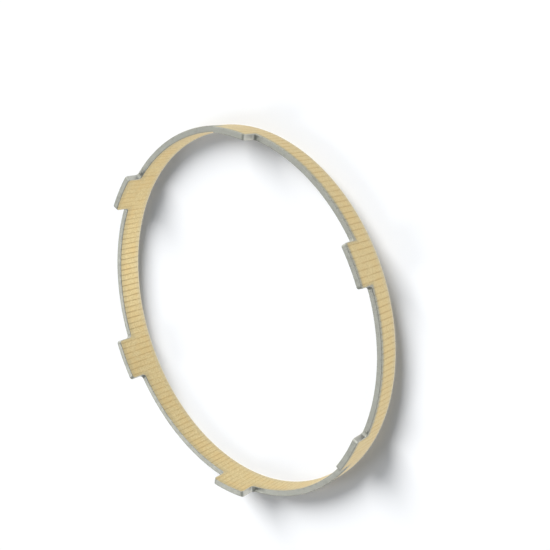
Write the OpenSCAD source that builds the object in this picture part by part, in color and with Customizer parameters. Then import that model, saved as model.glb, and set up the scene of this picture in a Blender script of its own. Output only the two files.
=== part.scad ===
// Synchronizer ring: a thin conical friction ring with drive tabs on its wide rim.
// Millimetres. The small rim lies on Z = 0 and the tabs point along +Z.

/* [Band] */
// Outer diameter at the wide rim, between the tabs
rim_d = 160; // [120:1:200]
// Half-angle of the cone
cone_angle = 6.5; // [4:0.25:9]
// Height of the band below the tabs
band_h = 9.4; // [6:0.2:16]
// Wall thickness, measured level
wall = 2.6; // [1.8:0.1:4]
// Chamfer on both edges of the small rim
edge_break = 0.3; // [0.1:0.05:0.6]

/* [Drive tabs] */
// Number of tabs
tab_count = 6; // [3:1:8]
// Width of a tab
tab_w = 18.6; // [10:0.2:26]
// Height of a tab above the rim
tab_h = 6.2; // [3.5:0.1:10]
// Corner radius at the tip of a tab
tip_r = 1.2; // [0.4:0.1:2]
// Fillet radius at the root of a tab
root_r = 1.4; // [0.4:0.1:1.5]

/* [Oil grooves] */
// Number of grooves round each face
groove_count = 192; // [96:6:240]
// Width of a groove at the face
groove_w = 0.5; // [0.2:0.05:0.8]
// Depth of a groove
groove_d = 0.15; // [0.05:0.05:0.3]

/* [Hidden] */
$fn = 180;
// Height over all
ring_h = band_h + tab_h;
// How far a body reaches past what it joins or cuts
over = 1;
// How far the round of a tip corner passes above the tip, so that the two faces cross
clear = 0.01;

// Outer and inner radius of the cone at a height
function outer_r(z) = rim_d / 2 + (z - band_h) * tan(cone_angle);
function inner_r(z) = outer_r(z) - wall;

// Conical wall from the small rim to the tips of the tabs, with the small rim's edges broken
module cone_wall() {
    rotate_extrude()
        polygon([
            [inner_r(0) + edge_break, 0],
            [outer_r(0) - edge_break, 0],
            [outer_r(edge_break), edge_break],
            [outer_r(ring_h), ring_h],
            [inner_r(ring_h), ring_h],
            [inner_r(edge_break), edge_break]
        ]);
}

// Outline of the space beside a tab, seen along the radius, as far as the middle of the gap
module beside_tab_outline() {
    half_w = tab_w / 2;
    gap_mid = outer_r(ring_h) * sin(180 / tab_count) + over;
    translate([half_w, band_h + root_r])
        square([gap_mid - half_w, tab_h - root_r + over]);
    translate([half_w + root_r, band_h])
        square([gap_mid - half_w - root_r, tab_h + over]);
    translate([half_w + root_r, band_h + root_r])
        circle(root_r);
    translate([half_w - tip_r, ring_h - tip_r + clear])
        difference() {
            square([tip_r + root_r, tip_r + over]);
            circle(tip_r);
        }
}

// What is cut away in one gap, with the gap's middle on +X: two halves, each square to its own tab
module gap_cutter() {
    half_pitch = 180 / tab_count;
    start_r = inner_r(0) * cos(half_pitch) - over;
    for (side = [0, 1])
        mirror([0, side, 0])
            rotate([0, 0, -half_pitch])
                translate([start_r, 0, 0])
                    rotate([90, 0, 90])
                        linear_extrude(height = outer_r(ring_h) - start_r + over)
                            beside_tab_outline();
}

// V-shaped cutters along the lines of the cone: side 1 for the outer face, -1 for the inner
module groove_cutters(side) {
    start_r = side > 0 ? outer_r(0) : inner_r(0);
    for (i = [0 : groove_count - 1])
        rotate([0, 0, i * 360 / groove_count])
            translate([start_r, 0, 0])
                rotate([0, cone_angle, 0])
                    translate([0, 0, -over])
                        linear_extrude(height = (ring_h + 2 * over) / cos(cone_angle))
                            polygon([
                                [-side * groove_d, 0],
                                [side * groove_d, groove_w],
                                [side * groove_d, -groove_w]
                            ]);
}

// Band and tabs, cut from one conical wall
module smooth_ring() {
    difference() {
        cone_wall();
        for (i = [0 : tab_count - 1])
            rotate([0, 0, (i + 0.5) * 360 / tab_count])
                gap_cutter();
    }
}

// The whole ring: one piece, with grooved friction faces
module synchronizer_ring() {
    color([0.78, 0.66, 0.42])
        difference() {
            smooth_ring();
            groove_cutters(1);
            groove_cutters(-1);
        }
}

synchronizer_ring();
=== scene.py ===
import math

import bmesh
import bpy
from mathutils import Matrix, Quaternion, Vector


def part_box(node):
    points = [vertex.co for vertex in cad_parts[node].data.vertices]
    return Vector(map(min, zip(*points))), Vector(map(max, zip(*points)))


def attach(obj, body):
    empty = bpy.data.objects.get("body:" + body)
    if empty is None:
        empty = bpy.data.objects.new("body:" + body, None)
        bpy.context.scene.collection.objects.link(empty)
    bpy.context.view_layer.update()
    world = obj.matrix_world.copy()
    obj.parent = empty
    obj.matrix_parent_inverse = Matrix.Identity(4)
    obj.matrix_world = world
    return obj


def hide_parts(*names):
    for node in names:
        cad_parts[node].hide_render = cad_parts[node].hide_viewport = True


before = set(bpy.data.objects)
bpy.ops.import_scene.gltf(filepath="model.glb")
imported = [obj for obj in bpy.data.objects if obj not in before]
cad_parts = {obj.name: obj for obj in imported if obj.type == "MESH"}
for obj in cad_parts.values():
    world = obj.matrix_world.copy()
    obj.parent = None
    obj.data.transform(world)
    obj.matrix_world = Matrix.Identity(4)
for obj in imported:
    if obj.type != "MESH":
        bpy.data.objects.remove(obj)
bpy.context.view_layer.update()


# The ring is one strip of steel sheet with a thin sintered bronze friction coat on both faces. It is
# cut to its outline, with six drive tabs along one edge, pressed with fine oil grooves and rolled to
# a cone. It is made the same way here: a sixth of it is laid out flat, and rolled when it is done.
mm = 0.001
# The ring's box reaches to the rim along y, and to the tips of two tabs along x.
ring_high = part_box("synchronizer_ring")[1]
ring_height = ring_high.z
rim_radius = ring_high.y
tip_radius = ring_high.x
wall = 2.6 * mm
tab_count = 6
tab_width = 18.6 * mm
tab_height = 6.2 * mm
tip_corner = 1.2 * mm
root_fillet = 1.4 * mm
band_height = ring_height - tab_height
sixth = math.tau * rim_radius / tab_count

# On the flat sheet x runs along the strip, z up to the tabs and y from the outer face through the wall.
sheet = bmesh.new()
outline = [
    (-sixth / 2, 0),
    (sixth / 2, 0),
    (sixth / 2, band_height),
    (tab_width / 2, band_height),
    (tab_width / 2, ring_height),
    (-tab_width / 2, ring_height),
    (-tab_width / 2, band_height),
    (-sixth / 2, band_height),
]
corners = [sheet.verts.new((x, 0, z)) for x, z in outline]
sheet.faces.new(corners)
roots = [corners[3], corners[6]]
tips = [corners[4], corners[5]]
for rounded, radius in ((roots, root_fillet), (tips, tip_corner)):
    bmesh.ops.bevel(
        sheet, geom=rounded, offset=radius, segments=8, profile=0.5, affect="VERTICES", material=-1
    )

# The grooves are V-shaped, on both faces, and run from the small rim up over the tabs. Each takes
# three cuts across the sheet, and the land beside it two more, so that the land rolls smoothly.
# Places that are closer than same_place count as one, so no cut is made at the ends of the sheet.
groove_count = 192
groove_width = 0.5 * mm
groove_depth = 0.15 * mm
groove_pitch = math.tau * rim_radius / groove_count
half_count = groove_count // tab_count // 2
groove_lines = [number * groove_pitch for number in range(-half_count, half_count + 1)]
cut_steps = [-groove_width / 2, 0, groove_width / 2, 0.4 * groove_pitch, 0.6 * groove_pitch]
same_place = 0.002 * mm
for x in [line + step for line in groove_lines for step in cut_steps]:
    if abs(x) < sixth / 2 - same_place:
        everything = sheet.verts[:] + sheet.edges[:] + sheet.faces[:]
        bmesh.ops.bisect_plane(sheet, geom=everything, plane_co=(x, 0, 0), plane_no=(1, 0, 0))

# The sheet gets its thickness. Its two ends stay open, because the next sixth joins on there.
bmesh.ops.solidify(sheet, geom=sheet.faces[:], thickness=wall)
sheet_ends = [
    face
    for face in sheet.faces
    if all(abs(abs(vert.co.x) - sixth / 2) < same_place for vert in face.verts)
]
bmesh.ops.delete(sheet, geom=sheet_ends, context="FACES_ONLY")


# A face that lies flat in the sheet is part of the inner or the outer friction face.
def is_friction_face(face):
    return abs(face.normal.y) > 0.99


# All cut edges are broken a little, and those of the small rim have a chamfer.
rim_chamfer = 0.3 * mm
edge_break = 0.2 * mm
cut_edges = [
    edge
    for edge in sheet.edges
    if not edge.is_boundary and sum(is_friction_face(face) for face in edge.link_faces) == 1
]
small_rim = [edge for edge in cut_edges if all(vert.co.z < same_place for vert in edge.verts)]
other_edges = [edge for edge in cut_edges if edge not in small_rim]
for edges, size in ((small_rim, rim_chamfer), (other_edges, edge_break)):
    bmesh.ops.bevel(
        sheet, geom=edges, offset=size, segments=2, profile=0.5, affect="EDGES", material=-1
    )

# Each point keeps its place on the flat sheet and its depth in the wall, in millimetres, for the
# materials. The coat is the first material and the bare cut edges are the second. Then the grooves
# are pressed in.
flat_place = sheet.loops.layers.uv.new("flat_place")
wall_depth = sheet.verts.layers.float.new("wall_depth")
for face in sheet.faces:
    face.smooth = True
    on_chamfer = 0 < face.calc_center_median().z < rim_chamfer
    face.material_index = 0 if is_friction_face(face) or on_chamfer else 1
    for loop in face.loops:
        loop[flat_place].uv = (loop.vert.co.x / mm, loop.vert.co.z / mm)
for vert in sheet.verts:
    vert[wall_depth] = vert.co.y / mm
    if min(abs(vert.co.x - line) for line in groove_lines) < same_place:
        vert.co.y = min(max(vert.co.y, groove_depth), wall - groove_depth)

# The sheet is rolled to the cone, and the other five sixths are set round the axis. The rounds are
# shaded smooth, and sharper bends, such as those of the grooves, stay sharp.
flare = (tip_radius - rim_radius) / tab_height
for vert in sheet.verts:
    turn = vert.co.x / rim_radius
    radius = rim_radius + (vert.co.z - band_height) * flare - vert.co.y
    vert.co = (radius * math.cos(turn), radius * math.sin(turn), vert.co.z)
bmesh.ops.spin(
    sheet,
    geom=sheet.verts[:] + sheet.edges[:] + sheet.faces[:],
    axis=(0, 0, 1),
    angle=math.tau * (tab_count - 1) / tab_count,
    steps=tab_count - 1,
    use_duplicate=True,
)
bmesh.ops.remove_doubles(sheet, verts=sheet.verts[:], dist=same_place)
bmesh.ops.recalc_face_normals(sheet, faces=sheet.faces[:])
sharp_bend = math.radians(20)
for edge in sheet.edges:
    edge.smooth = edge.calc_face_angle(0) < sharp_bend

ring_mesh = bpy.data.meshes.new("ring")
sheet.to_mesh(ring_mesh)
sheet.free()
ring = bpy.data.objects.new("ring", ring_mesh)
bpy.context.scene.collection.objects.link(ring)
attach(ring, "root")
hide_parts("synchronizer_ring")


# The coat: matt sintered bronze, mottled and grainy, with painted shade in the grooves. It has painted
# shade towards the cut outline, and ends ragged there, closest to the tabs' sides, with dark flecks
# outside.
# It is greyer low on the band. Painted shade makes the whole outer face greyer and darker, and a painted
# highlight runs along the small rim.
coat = bpy.data.materials.new("bronze_coat")
coat.use_nodes = True
tree = coat.node_tree
shader = tree.nodes["Principled BSDF"]


# A wire is one value, colour or vector in a material. Sums on values are written with Python's signs.
class Wire:
    def __init__(self, socket):
        self.socket = socket

    @classmethod
    def node(cls, tree, kind, settings, inputs, output=0):
        made = tree.nodes.new(kind)
        for name, setting in settings.items():
            setattr(made, name, setting)
        for name, value in inputs.items():
            if isinstance(value, Wire):
                tree.links.new(value.socket, made.inputs[name])
            else:
                made.inputs[name].default_value = value
        return cls(made.outputs[output])

    def maths(self, operation, first, second=0.0):
        return self.node(
            self.socket.id_data, "ShaderNodeMath", {"operation": operation}, {0: first, 1: second}
        )

    def __add__(self, other):
        return self.maths("ADD", self, other)

    def __radd__(self, other):
        return self.maths("ADD", other, self)

    def __sub__(self, other):
        return self.maths("SUBTRACT", self, other)

    def __rsub__(self, other):
        return self.maths("SUBTRACT", other, self)

    def __mul__(self, other):
        return self.maths("MULTIPLY", self, other)

    def __rmul__(self, other):
        return self.maths("MULTIPLY", other, self)

    def __abs__(self):
        return self.maths("ABSOLUTE", self)

    def least(self, other):
        return self.maths("MINIMUM", self, other)

    def most(self, other):
        return self.maths("MAXIMUM", self, other)

    # A value that goes smoothly from 0 to 1 as this one goes from none to full
    def fade(self, none, full):
        return self.node(
            self.socket.id_data,
            "ShaderNodeMapRange",
            {"interpolation_type": "SMOOTHSTEP"},
            {"Value": self, "From Min": none, "From Max": full},
        )

    # A colour that goes from one to another as this value goes from 0 to 1
    def between(self, first, second):
        return self.node(
            self.socket.id_data,
            "ShaderNodeMix",
            {"data_type": "RGBA"},
            {0: self, 6: first, 7: second},
            2,
        )

    def towards(self, colour, amount):
        return amount.between(self, colour)

    def into(self, shader, name):
        self.socket.id_data.links.new(self.socket, shader.inputs[name])


# Where a point is: along the strip, its height and its depth in the wall, in millimetres, and in space
def ring_places(tree):
    place = Wire.node(tree, "ShaderNodeUVMap", {"uv_map": "flat_place"}, {})
    along = Wire.node(tree, "ShaderNodeSeparateXYZ", {}, {0: place}, "X")
    height = Wire.node(tree, "ShaderNodeSeparateXYZ", {}, {0: place}, "Y")
    depth = Wire.node(tree, "ShaderNodeAttribute", {"attribute_name": "wall_depth"}, {}, "Fac")
    solid = Wire.node(tree, "ShaderNodeTexCoord", {}, {}, "Object")
    return along, height, depth, solid


half_tab_mm = tab_width / 2 / mm
rim_mm = band_height / mm
tip_mm = ring_height / mm
# The coat ends this much closer to the sides of the tabs than to the other cut edges.
side_reach_mm = 0.8
along, height, depth, solid = ring_places(tree)
mottle = Wire.node(tree, "ShaderNodeTexNoise", {}, {"Vector": solid, "Scale": 190.0, "Detail": 3.0})
grain = Wire.node(tree, "ShaderNodeTexNoise", {}, {"Vector": solid, "Scale": 1300.0, "Detail": 4.0})
pores = Wire.node(tree, "ShaderNodeTexNoise", {}, {"Vector": solid, "Scale": 3200.0, "Detail": 2.0})
from_groove = along.maths("PINGPONG", along, groove_pitch / 2 / mm)
groove = from_groove.fade(0.6, 0.0) * mottle.fade(0.2, 0.6)
above_rim = (half_tab_mm + side_reach_mm - abs(along)).least(tip_mm - height)
from_cut = above_rim.most(rim_mm - height)
outside = depth.fade(1.6, 1.0)
# Painted shade, darker towards the cut outline and stronger on the outer face
edge_shade = from_cut.fade(2.8, 0.6) * (0.35 + 0.25 * outside)
coat_end = from_cut + 1.5 * grain - 1.1 * outside
bare = coat_end.fade(0.9, 0.5)
flecks = coat_end.fade(1.5, 0.9) * pores.fade(0.5, 0.62) * outside
# Painted highlight along the small rim
rim_highlight = (height + 0.5 * pores).fade(0.75, 0.4)

dark_grain = (0.68, 0.543, 0.284, 1)
light_grain = (0.78, 0.65, 0.36, 1)
warm_patch = (0.76, 0.58, 0.28, 1)
outer_face_shade = (0.60, 0.495, 0.285, 1)
pore_brown = (0.46, 0.35, 0.18, 1)
groove_shade = (0.50, 0.36, 0.19, 1)
edge_shade_tone = (0.44, 0.40, 0.275, 1)
low_band = (0.60, 0.55, 0.40, 1)
dark_fleck = (0.30, 0.25, 0.16, 1)
bare_steel = (0.48, 0.47, 0.40, 1)
rim_highlight_tone = (0.84, 0.76, 0.56, 1)
bronze = grain.fade(0.35, 0.65).between(dark_grain, light_grain)
bronze = bronze.towards(warm_patch, 0.6 * mottle.fade(0.4, 0.7))
# Painted shade: the whole outer face is darker
bronze = bronze.towards(outer_face_shade, 0.3 * outside)
bronze = bronze.towards(pore_brown, 0.55 * pores.fade(0.55, 0.72))
# Painted shade in the grooves
bronze = bronze.towards(groove_shade, 0.22 * groove)
# Painted shade towards the cut outline
bronze = bronze.towards(edge_shade_tone, edge_shade)
bronze = bronze.towards(low_band, 0.45 * height.fade(2.6, 0.2))
bronze = bronze.towards(dark_fleck, 0.45 * flecks)
bronze = bronze.towards(bare_steel, bare)
# Painted highlight along the small rim
bronze = bronze.towards(rim_highlight_tone, 0.8 * rim_highlight)
bronze.into(shader, "Base Color")
shader.inputs["Metallic"].default_value = 1.0
(0.40 + 0.16 * grain + 0.12 * groove + 0.2 * bare).into(shader, "Roughness")
Wire.node(
    tree, "ShaderNodeBump", {}, {"Strength": 0.35, "Distance": 0.03 * mm, "Height": grain}
).into(shader, "Normal")
ring.data.materials.append(coat)


# The cut edges: bare steel, with fine shear marks across the wall from the press tool, and some dark
# spots. The rims and the tips of the tabs are faced smooth and dark between their broken edges. The
# sides of the tabs, which the clutch body drives, are smooth, and painted light makes them bright.
steel = bpy.data.materials.new("cut_steel")
steel.use_nodes = True
tree = steel.node_tree
shader = tree.nodes["Principled BSDF"]
along, height, depth, solid = ring_places(tree)
spots = Wire.node(tree, "ShaderNodeTexNoise", {}, {"Vector": solid, "Scale": 420.0, "Detail": 4.0})
shear = Wire.node(
    tree,
    "ShaderNodeTexNoise",
    {"noise_dimensions": "1D"},
    {"W": along + height, "Scale": 3.5, "Detail": 3.0},
)
on_tab = height.fade(rim_mm - 0.3, rim_mm)
from_side = abs(abs(along) - half_tab_mm)
# Painted light on the sides of the tabs
side_light = on_tab * from_side.fade(0.7, 0.1)
smooth_side = on_tab * from_side.fade(0.3, 0.05)
from_face = depth.least(wall / mm - depth)
faced = from_side.fade(1.0, 1.6) * from_face.fade(0.1, 0.4)

dark_shear = (0.385, 0.385, 0.335, 1)
light_shear = (0.47, 0.47, 0.415, 1)
spot_grey = (0.28, 0.28, 0.24, 1)
side_light_tone = (0.68, 0.68, 0.63, 1)
faced_steel = (0.28, 0.28, 0.245, 1)
grey = shear.fade(0.3, 0.7).between(dark_shear, light_shear)
grey = grey.towards(spot_grey, 0.6 * spots.fade(0.55, 0.75))
# Painted light on the sides of the tabs
grey = grey.towards(side_light_tone, 0.6 * side_light)
grey = grey.towards(faced_steel, 0.5 * faced)
grey.into(shader, "Base Color")
shader.inputs["Metallic"].default_value = 1.0
(0.68 + 0.16 * spots - 0.28 * faced - 0.3 * smooth_side).into(shader, "Roughness")
Wire.node(
    tree, "ShaderNodeBump", {}, {"Strength": 0.3, "Distance": 0.03 * mm, "Height": shear}
).into(shader, "Normal")
ring.data.materials.append(steel)


# The ring lies on a plain white table. Metal sees the table as plain white, and the camera sees the
# ring's shadow on it. The table is a hair below the small rim, so that the two faces don't coincide.
table_half = 5
rim_clearance = 0.02 * mm
table_form = bmesh.new()
bmesh.ops.create_grid(table_form, x_segments=1, y_segments=1, size=table_half)
bmesh.ops.translate(table_form, verts=table_form.verts[:], vec=(0, 0, -rim_clearance))
table_mesh = bpy.data.meshes.new("table")
table_form.to_mesh(table_mesh)
table_form.free()
table = bpy.data.objects.new("table", table_mesh)
bpy.context.scene.collection.objects.link(table)

white = bpy.data.materials.new("white_table")
white.use_nodes = True
tree = white.node_tree
shader = tree.nodes["Principled BSDF"]
shader.inputs["Base Color"].default_value = (0.95, 0.95, 0.95, 1)
shader.inputs["Roughness"].default_value = 1.0
shader.inputs["Specular IOR Level"].default_value = 0.0
glow = Wire.node(tree, "ShaderNodeEmission", {}, {"Color": (1, 1, 1, 1), "Strength": 1.0})
in_metal = Wire.node(tree, "ShaderNodeLightPath", {}, {}, "Is Glossy Ray")
in_glass = Wire.node(tree, "ShaderNodeLightPath", {}, {}, "Is Transmission Ray")
surface = Wire.node(
    tree,
    "ShaderNodeMixShader",
    {},
    {0: in_metal.most(in_glass), 1: Wire(shader.outputs[0]), 2: glow},
)
surface.into(tree.nodes["Material Output"], "Surface")
white.cycles.emission_sampling = "NONE"
table.data.materials.append(white)


# Soft light: an even, slightly blue room, a large soft lamp from the upper left of the picture, a weaker
# one from its left, and a faint low fill from its lower right. The lamps light only what they strike,
# so the ring throws none of their light on to the table.
room = bpy.data.worlds.new("room")
bpy.context.scene.world = room
room.use_nodes = True
room.node_tree.nodes["Background"].inputs["Color"].default_value = (0.90, 0.99, 1.11, 1)
room.node_tree.nodes["Background"].inputs["Strength"].default_value = 0.24

# Each lamp: its strength, its azimuth, elevation and width in degrees, and whether it throws a shadow
lamps = [
    ("key_lamp", 3.55, 100, 40, 40, True),
    ("side_lamp", 0.55, 180, 33, 20, True),
    ("fill_lamp", 0.78, 311, 6, 60, False),
]
for name, strength, azimuth, elevation, width, throws_shadow in lamps:
    lamp_light = bpy.data.lights.new(name, "SUN")
    lamp_light.energy = strength
    lamp_light.angle = math.radians(width)
    lamp_light.use_shadow = throws_shadow
    lamp_light.cycles.max_bounces = 0
    lamp = bpy.data.objects.new(name, lamp_light)
    level = math.cos(math.radians(elevation))
    to_lamp = Vector((
        math.cos(math.radians(azimuth)) * level,
        math.sin(math.radians(azimuth)) * level,
        math.sin(math.radians(elevation)),
    ))
    lamp.rotation_mode = "QUATERNION"
    lamp.rotation_quaternion = to_lamp.to_track_quat("Z", "Y")
    bpy.context.scene.collection.objects.link(lamp)


# The camera stands off to one side with a long lens and looks down on the ring. It is tipped well over,
# so that the tabs point to the picture's left.
camera_lens = bpy.data.cameras.new("camera")
camera_lens.sensor_width = 36
camera_lens.lens = 99.7
camera = bpy.data.objects.new("camera", camera_lens)
camera.location = (0.48895, -0.02125, 0.42242)
aim_point = Vector((0.0196, 0.00976, 0))
looking = aim_point - camera.location
tip_over = Quaternion((0, 0, 1), math.radians(-107.7))
camera.rotation_mode = "QUATERNION"
camera.rotation_quaternion = looking.to_track_quat("-Z", "Y") @ tip_over
bpy.context.scene.collection.objects.link(camera)
bpy.context.scene.camera = camera
bpy.context.scene.view_settings.view_transform = "Standard"
